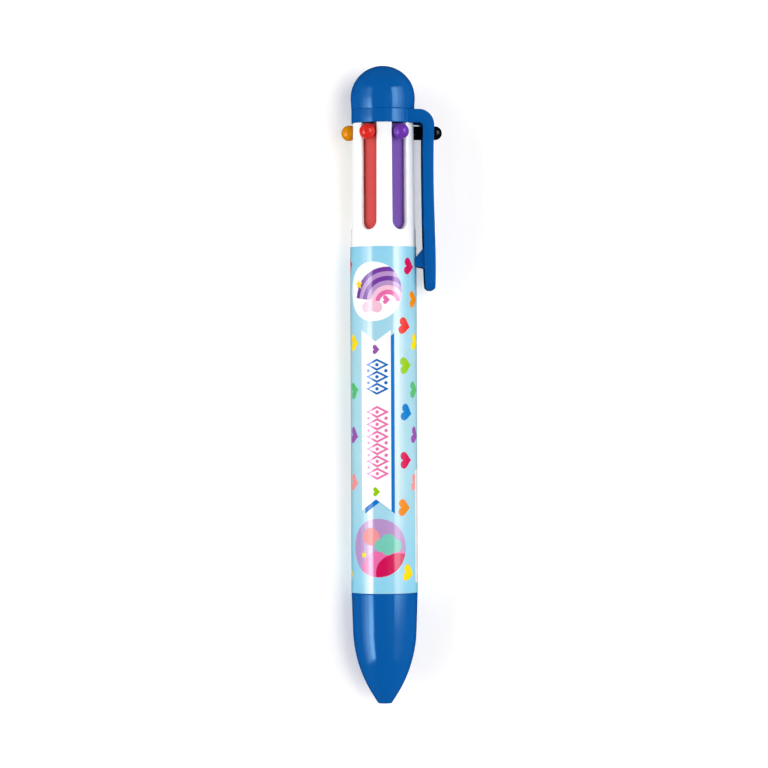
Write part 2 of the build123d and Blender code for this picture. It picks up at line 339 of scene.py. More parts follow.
def printed_ink(name, colour, ends, gloss):
    """Ink printed under clear glossy film: faint mottle, fine dot grain and a soft orange peel.

    With ends, the ink runs to that colour towards the film's two ends, and its gloss is thin and warm."""
    n = Nodes(name)
    mottle = n.math("MULTIPLY", n.noise(260, 3), 0.7)
    dots = n.math("MULTIPLY", n.noise(5200, 1), 0.3)
    grain = n.remap(n.math("ADD", mottle, dots), 0.3, 0.7, 0.0, 1.0)
    is_white = min(colour[:3]) > 0.9
    low, high = (0.93, 0.98) if is_white else (0.86, 0.91)
    tone = n.mix(grain, shade(colour, low), shade(colour, high))
    if ends:
        along = n.add("SeparateXYZ", {0: n.place}).outputs["Y"]
        middle = (FILM_LOW.y + FILM_HIGH.y) / 2
        reach = n.math("ABSOLUTE", n.math("SUBTRACT", along, middle))
        end_tone = n.mix(grain, shade(ends, low), shade(ends, high))
        tone = n.mix(n.remap(reach, 14 * MM, middle, 0.0, 1.0), tone, end_tone)
    roughness, coat = 0.16, 0.25 if ends else 0.65
    haze = n.noise(1500, 3)
    hairs = n.remap(n.noise(800, 2, n.stretch(3.0, 0.3, 3.0), 0.7), 0.64, 0.74, 0.0, 0.06)
    blur = n.math("ADD", n.remap(haze, 0.3, 0.7, roughness * 0.85, roughness * 1.2), hairs)
    n.set(Base_Color=tone, Roughness=blur, IOR=1.5, Specular_IOR_Level=0.5 * gloss)
    n.set(Coat_Weight=coat * gloss, Coat_Roughness=0.08)
    if ends:
        n.set(Specular_IOR_Level=0.9, Specular_Tint=(1.0, 0.60, 0.36, 1.0))
    n.set(Normal=n.bump(haze, 0.06, 0.003 * MM, n.bump(n.noise(330, 2), 0.12, 0.02 * MM)))
    return n.material


def turned_metal(name, colour, roughness=0.24):
    """Metal with fine tool rings round its axis."""
    n = Nodes(name)
    rings = n.noise(1.0, 2, n.stretch(300, 9000, 300))
    n.set(Base_Color=n.mix(rings, shade(colour, 0.82), shade(colour, 1.1)), Metallic=1.0)
    n.set(Roughness=n.remap(rings, 0.3, 0.7, roughness * 0.8, roughness * 1.3))
    n.set(Normal=n.bump(rings, 0.25, 0.004 * MM))
    return n.material


def ink_tube(name, colour):
    """Milky translucent tube with its ink showing through."""
    n = Nodes(name)
    fill = n.noise(1.0, 2, n.stretch(60, 25, 60))
    tone = n.mix(n.remap(fill, 0.35, 0.65, 0.0, 0.35), colour, srgb(225, 228, 230))
    n.set(Base_Color=tone, Roughness=n.remap(n.noise(1800), 0.3, 0.7, 0.28, 0.4))
    n.set(Subsurface_Weight=0.2, Subsurface_Scale=0.5 * MM, Normal=n.bump(n.noise(900), 0.1, 0.01 * MM))
    return n.material


BLUE = moulded_plastic("blue_plastic", srgb(8, 86, 160), roughness=0.12, tint=(0.36, 0.72, 1.0, 1.0))
WHITE = moulded_plastic("white_plastic", srgb(252, 252, 251), roughness=0.16, scatter=0.6, scuffs=0.3)
SLIDER_COLOURS = {
    "purple": srgb(104, 50, 165),
    "black": srgb(9, 9, 10),
    "blue": srgb(0, 92, 190),
    "green": srgb(36, 150, 72),
    "orange": srgb(214, 134, 0),
    "red": srgb(214, 40, 32),
}
SLIDER_PLASTIC = {
    colour: moulded_plastic(f"{colour}_plastic", value, roughness=0.15, scatter=0.05, satin=0.7,
                            tint=own_tint(value))
    for colour, value in SLIDER_COLOURS.items()
}
INK_TUBES = {colour: ink_tube(f"{colour}_ink_tube", value) for colour, value in SLIDER_COLOURS.items()}
BRASS = turned_metal("turned_brass", srgb(214, 178, 104))
STEEL = turned_metal("drawn_steel", srgb(188, 190, 196), roughness=0.3)
CARBIDE = turned_metal("polished_ball", srgb(150, 152, 158), roughness=0.12)


# ---- casing

def barrel_radius(y):
    """Outer radius of the barrel up to the collar."""
    knots = [(0, BARREL_R), (FILM_STRAIGHT_Y, BARREL_MID_R), (FILM_HIGH.y, BARREL_HIGH_R),
             (COLLAR_LOW.y, BARREL_TOP_R)]
    for (y0, r0), (y1, r1) in zip(knots, knots[1:]):
        if y <= y1:
            return r0 + (r1 - r0) * (y - y0) / (y1 - y0)
    return BARREL_TOP_R


def slot_boundary():
    """Half a slot, downwards: (x, y) on its edge, (angle, y) on its sector's border, outer and inner radius.

    The outer radius is None where the barrel's own holds."""
    neck = [(y, NECK_R, NECK_BORE_R) for y in (BARREL_HIGH.y, COLLAR_LOW.y)]
    straight = [COLLAR_LOW.y + (SLOT_ARC_Y - COLLAR_LOW.y) * k / 9 for k in range(10)]
    sides = neck + [(y, barrel_radius(y), BORE_R) for y in straight]
    pairs = [((SLOT_HALF, y), (SECTOR_HALF, y), outer, inner) for y, outer, inner in sides]
    half = SLOT_STEPS // 2
    for k in range(1, SLOT_STEPS + 1):
        turn = radians(90 * k / SLOT_STEPS)
        edge = (SLOT_HALF * cos(turn), SLOT_ARC_Y - SLOT_HALF * sin(turn))
        if k <= half:
            border = (SECTOR_HALF, SLOT_ARC_Y + (SLOT_FOOT_Y - SLOT_ARC_Y) * k / half)
        else:
            border = (SECTOR_HALF * (SLOT_STEPS - k) / half, SLOT_FOOT_Y)
        pairs.append((edge, border, None, BORE_R))
    return pairs


def half_sector(bm, centre_angle, side):
    """Half of the wall round one slot, with the plain tube below it."""
    turns = [radians(90 * k / 4) for k in range(5)]
    # rows that round the slot's edge: distance from it and depth under the surface
    rings = [(SLOT_EDGE * (1 - cos(t)), SLOT_EDGE * (1 - sin(t))) for t in turns]
    spread = 4             # rows from there to the border
    pairs = slot_boundary()

    def point(angle, y, radius):
        turn = radians(centre_angle) + side * angle
        return bm.verts.new((radius * sin(turn), y, radius * cos(turn)))

    def row(pair, outside):
        (x, y), (border_angle, border_y), outer, inner = pair
        reach = (outer or barrel_radius(y)) if outside else inner
        edge_angle = asin(x / reach)
        across = Vector(((border_angle - edge_angle) * reach, border_y - y))
        shares = [d / across.length for d, _ in rings]
        shares += [shares[-1] + (1 - shares[-1]) * k / spread for k in range(1, spread + 1)]
        verts = []
        for k, share in enumerate(shares):
            here_y = y + across.y * share
            wall = (outer or barrel_radius(here_y)) if outside else inner
            depth = rings[k][1] if outside and k < len(rings) else 0
            verts.append(point(edge_angle + (border_angle - edge_angle) * share, here_y, wall - depth))
        return verts

    sheets = [[row(pair, outside) for pair in pairs] for outside in (True, False)]
    for sheet in sheets:
        grid(bm, sheet)
    grid(bm, [[r[0] for r in sheet] for sheet in sheets])
    grid(bm, [sheet[0] for sheet in sheets])
    foot = [pair[1][0] for pair in pairs[-SLOT_STEPS // 2 - 1:]]
    ledge_low, ledge_high, ledge_r = PLATE_LOW.y - 2 * MM, PLATE_LOW.y, 5.35 * MM
    middle, chamfer = 33 * MM, 0.2 * MM
    outside = [(y, barrel_radius(y)) for y in (SLOT_FOOT_Y, FILM_HIGH.y, FILM_STRAIGHT_Y, middle)]
    outside += [(chamfer, BARREL_R), (0, BARREL_R - chamfer)]
    inside = [(SLOT_FOOT_Y, BORE_R), (ledge_high, BORE_R), (ledge_high, ledge_r),
              (ledge_low, ledge_r), (ledge_low, BORE_R), (0, BORE_R)]
    sheets = [[[point(a, y, r) for a in foot] for y, r in places] for places in (outside, inside)]
    for sheet in sheets:
        grid(bm, sheet)
    grid(bm, [sheet[-1] for sheet in sheets])


def rib(bm, angle):
    """Guide rib inside the barrel, between two sliders."""
    low, high, half = SLOT_ARC_Y, COLLAR_LOW.y - 0.1 * MM, 0.45 * MM
    box = bmesh.ops.create_cube(bm, size=1.0)["verts"]
    inner, outer = 4.7 * MM, BORE_R + 0.3 * MM
    size = Vector((2 * half, high - low, outer - inner))
    middle = Vector((0, (low + high) / 2, (inner + outer) / 2))
    turn = Matrix.Rotation(radians(angle), 3, "Y")
    for vert in box:
        vert.co = turn @ (Vector([c * s for c, s in zip(vert.co, size)]) + middle)


def make_barrel():
    bm = bmesh.new()
    for angle in STATIONS.values():
        half_sector(bm, angle, 1)
        half_sector(bm, angle, -1)
        rib(bm, angle + 30)
    piece = finish_mesh(bm, "barrel_tube", WHITE, sharp=50, merge=2e-6)
    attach(piece, "body")
    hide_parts("barrel")


def nose_outline():
    """Section of the nose cone: taper, arc and tip outside, then the hole, cavity and spigot."""
    seam_r, taper_r, taper_y, arc_r, wall = 7.58, 7.28, -8.9, 29.2, 1.1
    tip_r, hole_r, hole_length = 1.56, 1.08, 1
    spigot_r, spigot_bore_r, spigot_y = 5.95, 5.40, 8.0
    start, end = radians(2), radians(31)
    centre = (taper_r - arc_r * cos(start), taper_y + arc_r * sin(start))
    tip_y = NOSE_LOW.y / MM
    outer = arc(centre, arc_r, -degrees(start), -degrees(end), 40)
    inner = arc(centre, arc_r - wall, -degrees(end), -13.0, 14)
    skin = rounded([(spigot_r, 0, 0), (seam_r, 0, 0.28), outer[0] + (0,)])
    hole = [(tip_r, tip_y, 0.30), (hole_r, tip_y, 0.12), (hole_r, tip_y + hole_length, 0)]
    tip = rounded([outer[-1] + (0,)] + hole)
    spigot = [(spigot_bore_r, inner[-1][1]), (spigot_bore_r, spigot_y), (spigot_r, spigot_y)]
    return scaled(skin + outer[1:] + tip[1:] + inner + spigot)


def cap_outline():
    """Section of the domed end cap, hollow inside."""
    seam_r, seam_y, shoulder_y = 7.21, COLLAR_HIGH.y / MM, 112.8
    dome_r, dome_y = CAP_HIGH.x / MM, 113.16
    hollow_r, hollow_y = 6.05, 113.3
    skin = rounded([(RING_BORE_R, seam_y, 0), (seam_r, seam_y, 0.14), (dome_r, shoulder_y, 1.2),
                    (dome_r, dome_y, 0)])
    dome = arc((0, dome_y), dome_r, 0, 90, 40)[1:]
    inner = arc((0, hollow_y), hollow_r, 90, 0, 20)
    return scaled(skin + dome + inner + [(RING_BORE_R, hollow_y)])


def collar_outline():
    low, high, radius = COLLAR_LOW.y / MM, COLLAR_HIGH.y / MM, -COLLAR_LOW.x / MM
    return scaled(rounded([(RING_BORE_R, low, 0), (radius, low, 0.16), (radius, high, 0.14),
                           (RING_BORE_R, high, 0)], closed=True))


def make_casing():
    for name, outline, node in (("nose_shell", nose_outline(), "nose_cone"),
                                ("cap_dome", cap_outline(), "end_cap"),
                                ("collar_ring", collar_outline(), "clip_collar")):
        piece = turned_piece(name, outline, BLUE, steps=192)
        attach(piece, "body")
        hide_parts(node)


# ---- pocket clip

# Clip measures, in millimetres. Heights on the flat plate are y on the arm and run on round the bridge.
CLIP_SLOT_HALF = 2.05
CLIP_FLAT = 2.35           # thickness of the flat plate before it is bent to shape
CLIP_END_R = 0.9           # rounding of the end, seen from the side
CLIP_CORNER = 2.0          # rounding of the end's two corners, seen flat
CLIP_EDGE = 0.38           # rounding of all edges
CLIP_ROOT_R = 6.9          # the bridge's root lies inside the collar, at this radius
BRIDGE_Y = (COLLAR_LOW.y / MM + 0.05, COLLAR_HIGH.y / MM - 0.05)
FILLET_R, CORNER_R = 0.9, 3.55
FILLET_CENTRE = (8.10, BRIDGE_Y[0] - FILLET_R)
CORNER_CENTRE = (8.01, BRIDGE_Y[1] - CORNER_R)
CLIP_SLOT_Y = (84.65, CORNER_CENTRE[1] - 2.05)
CLIP_ARM_TOP = CORNER_CENTRE[1]
CLIP_CORNER_END = CLIP_ARM_TOP + 3.3
CLIP_ROOT = CLIP_ARM_TOP + 6.0
# The arm's two faces, as (height, distance from the pen's axis)
ARM_OUTER = [(68.95, 11.74), (74.0, 11.82), (82.0, 11.66), (94.0, 11.36), (CLIP_ARM_TOP, 11.56)]
ARM_INNER = [(68.95, 9.53), (75.0, 9.28), (82.0, 9.12), (94.0, 8.97), (FILLET_CENTRE[1], 9.00)]


def curve_through(points, at):
    """Smooth value at a height, through (height, value) points (a Lagrange polynomial)."""
    total = 0.0
    for i, (hi, vi) in enumerate(points):
        term = vi
        for j, (hj, _) in enumerate(points):
            if i != j:
                term *= (at - hj) / (hi - hj)
        total += term
    return total


def clip_half_width(p):
    """Half width of the flat plate: full at the bridge, narrower and rounded at the end."""
    end, taper, wide, narrow = CLIP_LOW.y / MM, 86.0, 4.6, 3.4
    width = wide if p >= taper else narrow + (wide - narrow) * (p - end) / (taper - end)
    if p < end + CLIP_CORNER:
        width -= CLIP_CORNER - sqrt(max(0.0, CLIP_CORNER**2 - (end + CLIP_CORNER - p) ** 2))
    return width


def bent(p, z, depth):
    """Place of a point of the flat plate once it is bent: depth runs from 0 inside to 1 outside."""
    if p <= CLIP_ARM_TOP:
        outer = Vector((curve_through(ARM_OUTER, p), p))
        inner = Vector((curve_through(ARM_INNER, p), p))
        if p > FILLET_CENTRE[1]:
            inner.x = FILLET_CENTRE[0] + sqrt(FILLET_R**2 - (p - FILLET_CENTRE[1]) ** 2)
        end = CLIP_LOW.y / MM + CLIP_END_R
        if p < end:
            tuck = CLIP_END_R - sqrt(max(0.0, CLIP_END_R**2 - (end - p) ** 2))
            outer.x -= tuck
            inner.x += tuck
    elif p <= CLIP_CORNER_END:
        t = (p - CLIP_ARM_TOP) / (CLIP_CORNER_END - CLIP_ARM_TOP)
        start = asin((CLIP_ARM_TOP - FILLET_CENTRE[1]) / FILLET_R)
        a, b = start + (pi / 2 - start) * t, pi / 2 * t
        inner = Vector((FILLET_CENTRE[0] + FILLET_R * cos(a), FILLET_CENTRE[1] + FILLET_R * sin(a)))
        outer = Vector((CORNER_CENTRE[0] + CORNER_R * cos(b), CORNER_CENTRE[1] + CORNER_R * sin(b)))
    else:
        t = (p - CLIP_CORNER_END) / (CLIP_ROOT - CLIP_CORNER_END)
        root_x = sqrt(CLIP_ROOT_R**2 - z**2)
        inner = Vector((FILLET_CENTRE[0] + (root_x - FILLET_CENTRE[0]) * t, BRIDGE_Y[0]))
        outer = Vector((CORNER_CENTRE[0] + (root_x - CORNER_CENTRE[0]) * t, BRIDGE_Y[1]))
    here = inner.lerp(outer, depth)
    return Vector((here.x, here.y, z)) * MM


def clip_plan_rows():
    """Rows of (p, z) for half the flat plate, in three patches: end, round the slot, and root.

    Each row runs from the plate's middle line, or from the slot's edge, to the plate's side."""
    n, arc_n = 4, 8
    low, high = CLIP_SLOT_Y
    end, patch_low, patch_high = CLIP_LOW.y / MM, 80.5, 109.0

    def across(p):
        return [(p, clip_half_width(p) * k / n) for k in range(n + 1)]

    tip = [end + CLIP_CORNER * (1 - cos(radians(90 * k / 8))) for k in range(9)]
    tip += [tip[-1] + (patch_low - tip[-1]) * k / 7 for k in range(1, 8)]
    root = [patch_high + (CLIP_ROOT - patch_high) * k / 10 for k in range(11)]
    edge, border = [], []
    for k in range(arc_n + 1):
        turn = radians(90 * k / arc_n)
        edge.append((low - CLIP_SLOT_HALF * cos(turn), CLIP_SLOT_HALF * sin(turn)))
        side = low + (patch_low - low) * (arc_n - k) / n
        front = clip_half_width(patch_low) * k / n
        border.append((patch_low, front) if k <= n else (side, clip_half_width(side)))
    for p in [low + (high - low) * k / 15 for k in range(1, 16)]:
        edge.append((p, CLIP_SLOT_HALF))
        border.append((p, clip_half_width(p)))
    for k in range(1, arc_n + 1):
        turn = radians(90 * k / arc_n)
        edge.append((high + CLIP_SLOT_HALF * sin(turn), CLIP_SLOT_HALF * cos(turn)))
        side = high + (patch_high - high) * k / n
        back = clip_half_width(patch_high) * (arc_n - k) / n
        border.append((side, clip_half_width(side)) if k <= n else (patch_high, back))
    slot = [[(p0 + (p1 - p0) * k / n, z0 + (z1 - z0) * k / n) for k in range(n + 1)]
            for (p0, z0), (p1, z1) in zip(edge, border)]
    return {"end": [across(p) for p in tip], "slot": slot, "root": [across(p) for p in root]}


def make_clip_plate():
    """The clip: a flat plate with its slot, rounded, then bent to its shape."""
    bm = bmesh.new()
    for mirror in (1, -1):
        for patch, rows in clip_plan_rows().items():
            sheets = []
            for depth in (0.0, CLIP_FLAT):
                sheets.append([[bm.verts.new((p, mirror * z, depth)) for p, z in row] for row in rows])
                grid(bm, sheets[-1])
            grid(bm, [[row[-1] for row in sheet] for sheet in sheets])
            if patch == "slot":
                grid(bm, [[row[0] for row in sheet] for sheet in sheets])
            else:
                grid(bm, [sheet[0 if patch == "end" else -1] for sheet in sheets])
    piece = finish_mesh(bm, "clip_arm", BLUE, merge=1e-4)
    add_modifier(piece, "BEVEL", width=CLIP_EDGE, segments=4, limit_method="ANGLE", angle_limit=radians(60))
    add_modifier(piece, "SUBSURF", subdivision_type="SIMPLE", levels=1, render_levels=1)
    apply_modifiers(piece)
    for vert in piece.data.vertices:
        p, z, depth = vert.co
        vert.co = bent(p, z, depth / CLIP_FLAT)
    return piece


def add_bump(piece):
    """The grip bump under the clip's end, hollowed to stay clear of the film."""
    profile = rounded([(9.7, 79.0, 0), (9.0, 78.5, 0.4), (7.95, 77.2, 1.5), (6.60, 75.9, 0.5),
                       (7.40, 74.5, 0.9), (9.7, 74.0, 0)])
    clear_r, half, steps = 7.74, 3.2, 16
    bm = bmesh.new()
    bm.from_mesh(piece.data)
    rows = []
    for k in range(steps + 1):
        z = half * (2 * k / steps - 1)
        limit = sqrt(clear_r**2 - z**2)
        rows.append([bm.verts.new(Vector((max(x, limit), y, z)) * MM) for x, y in profile])
    grid(bm, rows)
    grid(bm, [[row[0] for row in rows], [row[-1] for row in rows]])
    bm.faces.new(rows[0])
    bm.faces.new(list(reversed(rows[-1])))
    bmesh.ops.recalc_face_normals(bm, faces=bm.faces)
    smooth(bm)
    bm.to_mesh(piece.data)
    bm.free()


def make_clip():
    piece = make_clip_plate()
    add_bump(piece)
    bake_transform(piece)
    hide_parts("pocket_clip")


# ---- sliders and refills

# Slider measures, in millimetres. Knob heights are distances from the pen's axis.
BAR_LOW, BAR_HIGH = 79.0, 107.0
KNOB_FOOT = 4.0
STEM_R, BALL_R, BALL_CENTRE = 1.35, 1.78, 7.72
PIN_R, PIN_CENTRE = 1.58, 11.95
BOSS_R, BOSS_LOW, BOSS_HIGH = 1.65, 77.5, 82.5
PLUG_R, PLUG_TIP_R, PLUG_LOW, PLUG_HIGH = 0.75, 0.6, 74.1, 78.0


def knob_outline(colour):
    """Section of a knob round its own axis: a ball on its neck, or black's round-ended pin."""
    if colour == "black":
        pin = arc((0, PIN_CENTRE), PIN_R, 0, 90, 14)
        return scaled([(0, KNOB_FOOT), (PIN_R, KNOB_FOOT)] + pin)
    join = asin(STEM_R / BALL_R)
    ball = arc((0, BALL_CENTRE), BALL_R, -90 + degrees(join), 90, 28)
    neck = [(0, KNOB_FOOT), (STEM_R, KNOB_FOOT)]
    return scaled(neck + ball[:-1] + [(0, BALL_CENTRE + BALL_R)])


def bar_section():
    """Section of a slider's bar: a stem, and a wider face that follows the bore."""
    stem, face, inner_r, step_r, outer_r, steps = 1.55, 2.10, 3.20, 4.95, 5.80, 10
    edge = asin(face / outer_r)
    turns = [edge - 2 * edge * k / steps for k in range(steps + 1)]
    curve = [(outer_r * sin(t), outer_r * cos(t)) for t in turns]
    corners = [(-stem, inner_r), (stem, inner_r), (stem, step_r), (face, step_r)]
    return scaled(corners + curve + [(-face, step_r), (-stem, step_r)])


def make_slider(colour, angle):
    """A slider's bar, its knob, and the boss and plug that hold its refill."""
    plastic = SLIDER_PLASTIC[colour]
    bm = bmesh.new()
    rings = [[bm.verts.new((x, y * MM, z)) for x, z in bar_section()] for y in (BAR_LOW, BAR_HIGH)]
    grid(bm, [ring + ring[:1] for ring in rings])
    bm.faces.new(rings[0])
    bm.faces.new(list(reversed(rings[1])))
    piece = finish_mesh(bm, f"slide_{colour}", plastic, sharp=35)
    add_modifier(piece, "BEVEL", width=0.2 * MM, segments=3, limit_method="ANGLE", angle_limit=radians(50))
    apply_modifiers(piece)
    outward = Matrix.Translation((0, KNOB_Y, 0)) @ Matrix.Rotation(radians(90), 4, "X")
    over = Matrix.Translation((0, 0, REFILL_R))
    boss = scaled(rounded([(0, BOSS_LOW, 0), (BOSS_R, BOSS_LOW, 0.15), (BOSS_R, BOSS_HIGH, 0.15),
                           (0, BOSS_HIGH, 0)]))
    plug = scaled([(0, PLUG_LOW), (PLUG_TIP_R, PLUG_LOW), (PLUG_R, PLUG_LOW + 0.2), (PLUG_R, PLUG_HIGH),
                   (0, PLUG_HIGH)])
    others = [
        turned_piece("knob", knob_outline(colour), plastic, 64, closed=False, place=outward),
        turned_piece("boss", boss, plastic, 48, closed=False, place=over),
        turned_piece("plug", plug, plastic, 32, closed=False, place=over),
    ]
    for other in others:
        add_modifier(piece, "BOOLEAN", operation="UNION", solver="EXACT", object=other)
    apply_modifiers(piece)
    for other in others:
        bpy.data.objects.remove(other)
    mark_sharp(piece, 35)
    piece.data.transform(Matrix.Rotation(radians(angle), 4, "Y"))
    add_modifier(piece, "WEIGHTED_NORMAL", keep_sharp=True, weight=50)
    apply_modifiers(piece)
    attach(piece, f"slider_{colour}")
    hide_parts(f"slider_{colour}")


def refill_place(angle):
    return Matrix.Rotation(radians(angle), 4, "Y") @ Matrix.Translation((0, 0, REFILL_R))


def make_refill(colour, angle):
    """Brass writing tip and its ball; the tube keeps its CAD shape."""
    place = refill_place(angle)
    ball_r, ball_y, socket_r = 0.36, -7.04, 0.37
    tip = rounded([(0.25, 4.0, 0), (0.85, 4.0, 0.15), (0.85, 0.6, 0), (1.15, 0.6, 0.1), (1.15, -1.9, 0.5),
                   (0.42, -7.14, 0.05), (0.357, -7.14, 0)])
    socket = arc((0, ball_y), socket_r, -15, 40, 6)
    piece = turned_piece(f"brass_tip_{colour}", scaled(tip + socket), BRASS, 48, place=place)
    sphere = scaled(arc((0, ball_y), ball_r, -90, 90, 16))
    ball = turned_piece(f"writing_ball_{colour}", sphere, CARBIDE, 32, closed=False, place=place)
    for made, node in ((piece, "refill_tip"), (ball, "tip_ball")):
        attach(made, f"refill_{colour}")
        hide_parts(f"{node}_{colour}")
    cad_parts[f"refill_tube_{colour}"].material_slots[0].material = INK_TUBES[colour]


def make_spring(colour, angle):
    """Coil spring with its ends capped, pressed together by its slider."""
    turns, coil_r, wire_r, wire_steps, steps = 14, 1.48 * MM, 0.15 * MM, 8, 22
    foot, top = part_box(f"return_spring_{colour}")
    low, high = foot.y + wire_r, top.y - wire_r
    place = refill_place(angle)
    bm = bmesh.new()
    rings = []
    total = turns * steps
    for k in range(total + 1):
        turn = 2 * pi * k / steps
        y = low + (high - low) * (k / total)
        centre = Vector((coil_r * sin(turn), y, coil_r * cos(turn)))
        outward = Vector((sin(turn), 0, cos(turn)))
        ring = []
        for m in range(wire_steps):
            a = 2 * pi * m / wire_steps
            lift = Vector((0, wire_r * sin(a), 0))
            ring.append(bm.verts.new(place @ (centre + outward * wire_r * cos(a) + lift)))
        rings.append(ring)
    grid(bm, [ring + ring[:1] for ring in rings])
    bm.faces.new(list(reversed(rings[0])))
    bm.faces.new(rings[-1])
    piece = finish_mesh(bm, f"coil_spring_{colour}", STEEL, sharp=60)
    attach(piece, f"refill_{colour}")
    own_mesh(piece)
    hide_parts(f"return_spring_{colour}")


# ---- printed film

FLAT_R = FILM_R / MM       # the artwork is drawn flat: u round the film and v along it, in millimetres
SEAM = 162                 # the film's seam, as an angle round the pen
INKS = {
    "sky": srgb(174, 223, 239), "white": srgb(252, 252, 252),
    "ribbon_shadow": srgb(0, 114, 202),
    "crimson": srgb(214, 15, 88), "orange": srgb(242, 140, 0), "red": srgb(235, 50, 42),
    "yellow": srgb(250, 222, 10), "lime": srgb(150, 203, 0), "green": srgb(90, 190, 115),
    "blue": srgb(0, 125, 203), "purple": srgb(155, 85, 170), "salmon": srgb(242, 150, 150),
    "violet": srgb(118, 60, 165), "lilac": srgb(188, 150, 205), "pink": srgb(240, 110, 175),
    "pale_pink": srgb(250, 200, 222), "mint": srgb(120, 205, 185), "rose": srgb(214, 15, 88),
    "royal": srgb(0, 110, 196),
}
MATT_INKS = "crimson orange red yellow lime green blue purple salmon ribbon_shadow".split()
MATT_GLOSS = 0.3
SKY_ENDS = srgb(146, 217, 245)


def around(angle):
    """Flat place of an angle round the pen."""
    return radians(angle) * FLAT_R


def ellipse(u, v, radius_u, radius_v=None, steps=40):
    turns = [2 * pi * k / steps for k in range(steps)]
    return [(u + radius_u * cos(t), v + (radius_v or radius_u) * sin(t)) for t in turns]


def heart(u, v, length=3.4, width=3.9, tilt=0.0):
    """The usual heart curve, with its point looking round the pen."""
    points, steps = [], 26
    for k in range(steps):
        t = 2 * pi * (k + 0.5) / steps
        across = 16 * sin(t) ** 3 / 32
        along = -(13 * cos(t) - 5 * cos(2 * t) - 2 * cos(3 * t) - cos(4 * t) + 2.5) / 29
        points.append((along * length, across * width))
    c, s = cos(radians(tilt)), sin(radians(tilt))
    return [(u + c * x - s * y, v + s * x + c * y) for x, y in points]


def star(u, v, radius, tilt):
    outline, points, depth = [], 5, 0.45
    for k in range(2 * points):
        reach = radius if k % 2 == 0 else radius * depth
        t = pi * k / points + radians(tilt)
        outline.append((u + reach * cos(t), v + reach * sin(t)))
    return outline


def ring_part(u, v, outer, inner, start, end):
    """Part of a ring, as for one band of a rainbow."""
    return arc((u, v), outer, start, end, 22) + arc((u, v), inner, end, start, 22)


def ribbon(u0, u1, low, high, notch):
    """Banner along the pen with swallow-tail ends."""
    middle = (u0 + u1) / 2
    return [(u0, low), (middle, low + notch), (u1, low), (u1, high), (middle, high - notch), (u0, high)]


def diamond(u, v, half_u, half_v):
    return [(u + half_u, v), (u, v + half_v), (u - half_u, v), (u, v - half_v)]


def round_patch(u, v, half_u, half_v, corner):
    signs = ((-1, -1), (1, -1), (1, 1), (-1, 1))
    return rounded([(u + a * half_u, v + b * half_v, corner) for a, b in signs], closed=True, steps=6)


def anticlockwise(outline):
    area = sum(a[0] * b[1] - b[0] * a[1] for a, b in zip(outline, outline[1:] + outline[:1]))
    return outline if area > 0 else list(reversed(outline))


class Artwork:
    """Flat shapes in printing order. A shape may be kept within an earlier one."""

    def __init__(self):
        self.shapes = []

    def add(self, ink, outline, within=None):
        self.shapes.append((ink, outline, within))
        return len(self.shapes) - 1


def draw_ribbon(art):
    """White ribbon with its shadow, a heart at each end and two chains of diamonds."""
    u0, u1 = around(-43.7), around(9.7)
    banner = ribbon(u0, u1, 18.9, 59.9, 2.6)
    art.add("ribbon_shadow", [(u + 0.85, v - 0.7) for u, v in banner])
    art.add("white", banner)
    middle = (u0 + u1) / 2
    art.add("purple", heart(middle + 0.2, 55.5, 1.7, 2.1))
    art.add("lime", heart(middle + 0.2, 23.2, 1.7, 2.1))
    centre = middle + 0.35
    for ink, low, high, count in (("pink", 25.9, 42.7, 6), ("royal", 45.2, 53.4, 3)):
        rise = (high - low) / count
        for k in range(count):
            v = low + rise * (k + 0.5)
            art.add(ink, diamond(centre, v, 2.75, rise / 2))
            art.add("white", diamond(centre, v, 1.75, rise / 2 * 0.62))
            art.add(ink, ellipse(centre, v, 0.4, steps=16))
            for side in (-2.05, 2.05):
                if k:
                    art.add(ink, ellipse(centre + side, v - rise / 2, 0.4, steps=16))


def draw_upper_medallion(art):
    """White disc with rainbow bands, a heart and a star."""
    u, v, band = around(-20.5), 68.7, 1.05
    disc = art.add("white", ellipse(u, v, 6.75, steps=72))
    centre = (u + 3.4, v - 2.6)
    for k, ink in enumerate(("violet", "lilac", "violet", "lilac", "pale_pink", "pink")):
        outer = 8.2 - band * k
        art.add(ink, ring_part(*centre, outer, outer - band, 8, 172), disc)
    for du, dv, r in ((-3.9, -2.9, 1.25), (-2.7, -2.4, 1.45), (-1.4, -2.9, 1.2)):
        art.add("pale_pink", ellipse(centre[0] + du - 1.1, centre[1] + dv + 1.9, r, steps=28), disc)
    art.add("yellow", star(u - 3.9, v + 1.6, 1.25, tilt=20), disc)
    art.add("pink", heart(u + 3.1, v - 1.9, 1.7, 2.0), disc)


def draw_lower_medallion(art):
    """Mauve disc with rolling hills, a cloud and a sun."""
    u, v = around(-13.0), 10.4
    disc = art.add("lilac", ellipse(u, v, 6.65, steps=72))
    art.add("pink", ellipse(u + 2.4, v - 5.2, 6.6, 5.0, 56), disc)
    art.add("rose", ellipse(u + 4.6, v - 5.6, 5.2, 4.4, 52), disc)
    art.add("salmon", ellipse(u - 1.8, v + 2.6, 2.0, steps=36), disc)
    for du, dv, r in ((0.6, 0.6, 1.5), (2.3, 1.3, 1.9), (4.0, 0.5, 1.5), (2.2, 0.1, 1.7)):
        art.add("mint", ellipse(u + du, v + dv, r, steps=32), disc)
    art.add("yellow", star(u - 3.6, v - 1.6, 0.95, tilt=10), disc)


